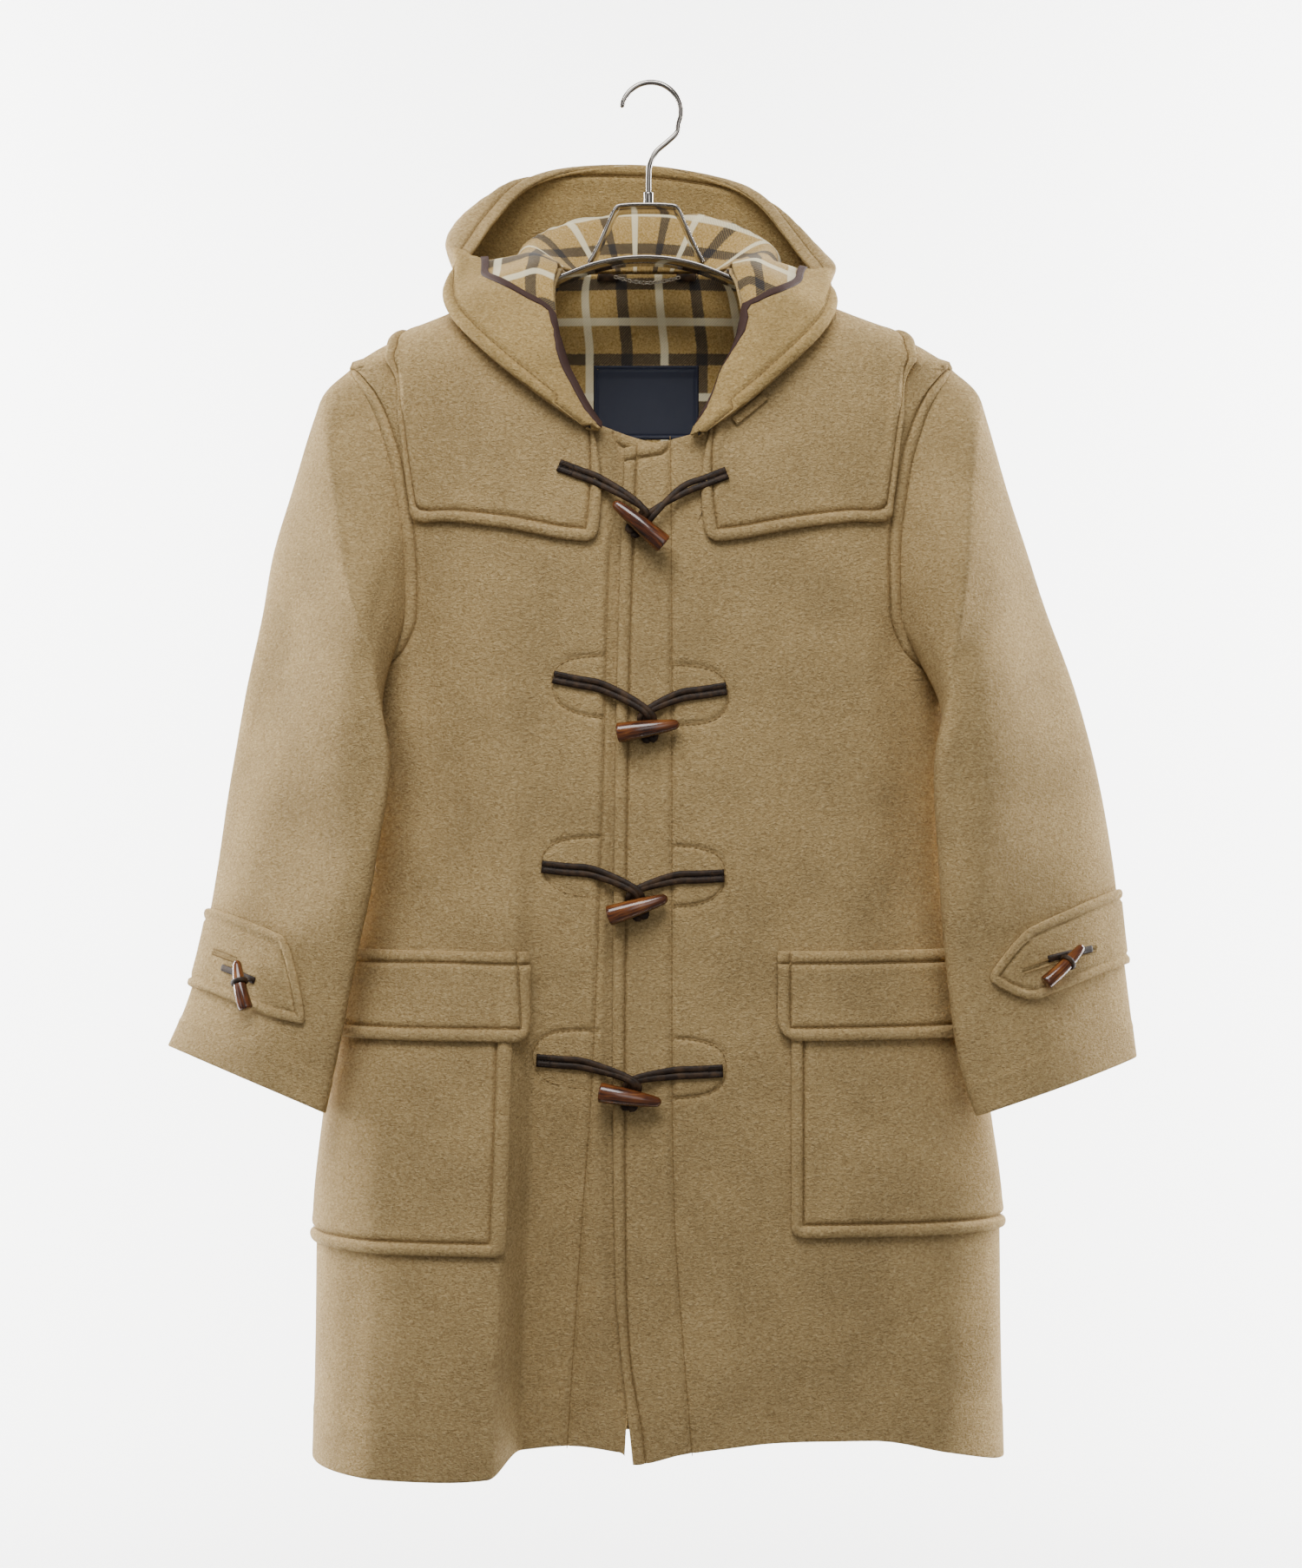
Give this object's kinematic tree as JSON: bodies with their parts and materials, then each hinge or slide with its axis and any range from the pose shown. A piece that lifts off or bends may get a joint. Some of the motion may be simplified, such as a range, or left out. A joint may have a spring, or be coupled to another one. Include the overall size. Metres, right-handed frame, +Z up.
{
  "type": "duffle coat on a hanger",
  "caption": "Hooded wool duffle coat, fastened down the front with horn toggles and leather loops, hanging flat on a steel hanger with its hood dropped behind the neck",
  "frame": {"origin": "point under the crown of the hanger's hook, where a rail holds it", "axes": "+Z up, the front of the coat faces -Y, +X to the right as one looks at the front"},
  "size_m": [0.78, 0.2599, 1.1079],
  "materials": {
    "wool": "brushed double-faced wool, camel outside",
    "facing": "brushed wool, camel",
    "binding": "dark brown tape",
    "leather": "matt dark brown leather",
    "horn": "polished reddish brown horn",
    "steel": "polished steel",
    "label": "bare navy woven label"
  },
  "bodies": {
    "root": {"front_under": "wool", "front_over": "wool", "back": "wool", "sleeve_left": "wool", "sleeve_right": "wool", "yoke": "wool", "hood": "wool", "hood_facing": "facing", "hood_binding": "binding", "pocket_left": "wool", "pocket_right": "wool", "flap_left": "wool", "flap_right": "wool", "throat_tab": "wool", "loop_tab_1": "leather", "toggle_tab_1": "leather", "toggle_1": "horn", "loop_tab_2": "leather", "toggle_tab_2": "leather", "toggle_2": "horn", "loop_tab_3": "leather", "toggle_tab_3": "leather", "toggle_3": "horn", "loop_tab_4": "leather", "toggle_tab_4": "leather", "toggle_4": "horn", "cuff_strap_left": "wool", "cuff_strap_right": "wool", "cuff_loop_left": "leather", "cuff_loop_right": "leather", "cuff_toggle_left": "horn", "cuff_toggle_right": "horn", "hanger_hook": "steel", "hanger_ferrule": "steel", "hanger_bracket": "steel", "hanger_bar": "steel", "neck_label": "label", "chain_end_left": "leather", "chain_end_right": "leather", "chain": "steel"}
  },
  "joints": []
}
